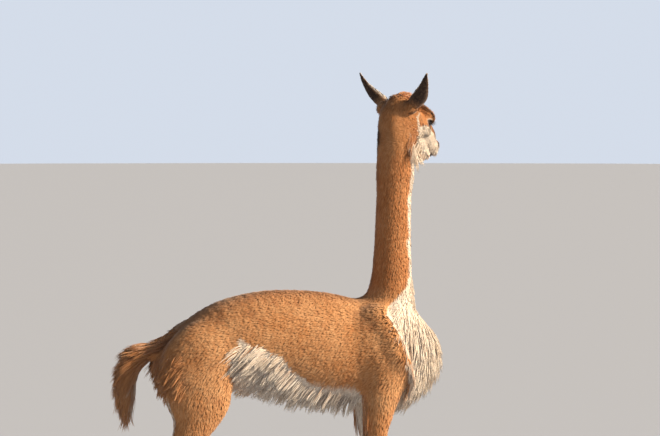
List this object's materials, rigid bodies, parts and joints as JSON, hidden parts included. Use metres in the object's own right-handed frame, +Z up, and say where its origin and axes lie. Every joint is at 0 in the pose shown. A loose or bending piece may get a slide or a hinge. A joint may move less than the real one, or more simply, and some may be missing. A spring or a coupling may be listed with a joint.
{
  "type": "vicuna",
  "caption": "Standing vicuna at life size with an upright neck and its head turned to its left; it rests on the flat soles of its feet.",
  "frame": {"origin": "on the floor under the middle of the animal's box", "axes": "+Z up, -Y towards the chest and head end, +X towards the animal's left side"},
  "size_m": [0.2824, 1.0938, 1.5742],
  "materials": {
    "coat_fawn": "woolly short fleece, tawny cinnamon above and white below",
    "coat_face": "short velvety hair, pale at the lips and throat",
    "ear_hair": "short fine hair, pale at the rim",
    "eye": "wet dark brown gloss",
    "horn": "dull dark horn"
  },
  "bodies": {
    "root": {"forequarters": "coat_fawn", "barrel": "coat_fawn", "neck": "coat_fawn", "hindquarters": "coat_fawn", "tail": "coat_fawn", "head": "coat_face", "ear_left": "ear_hair", "eye_left": "eye", "ear_right": "ear_hair", "eye_right": "eye", "fore_leg_left_forearm": "coat_fawn", "fore_leg_left_cannon": "coat_fawn", "fore_leg_left_foot": "coat_fawn", "fore_leg_left_nail_outer": "horn", "fore_leg_left_nail_inner": "horn", "fore_leg_right_forearm": "coat_fawn", "fore_leg_right_cannon": "coat_fawn", "fore_leg_right_foot": "coat_fawn", "fore_leg_right_nail_inner": "horn", "fore_leg_right_nail_outer": "horn", "hind_leg_left_gaskin": "coat_fawn", "hind_leg_left_cannon": "coat_fawn", "hind_leg_left_foot": "coat_fawn", "hind_leg_left_nail_outer": "horn", "hind_leg_left_nail_inner": "horn", "hind_leg_right_gaskin": "coat_fawn", "hind_leg_right_cannon": "coat_fawn", "hind_leg_right_foot": "coat_fawn", "hind_leg_right_nail_inner": "horn", "hind_leg_right_nail_outer": "horn"}
  },
  "joints": []
}
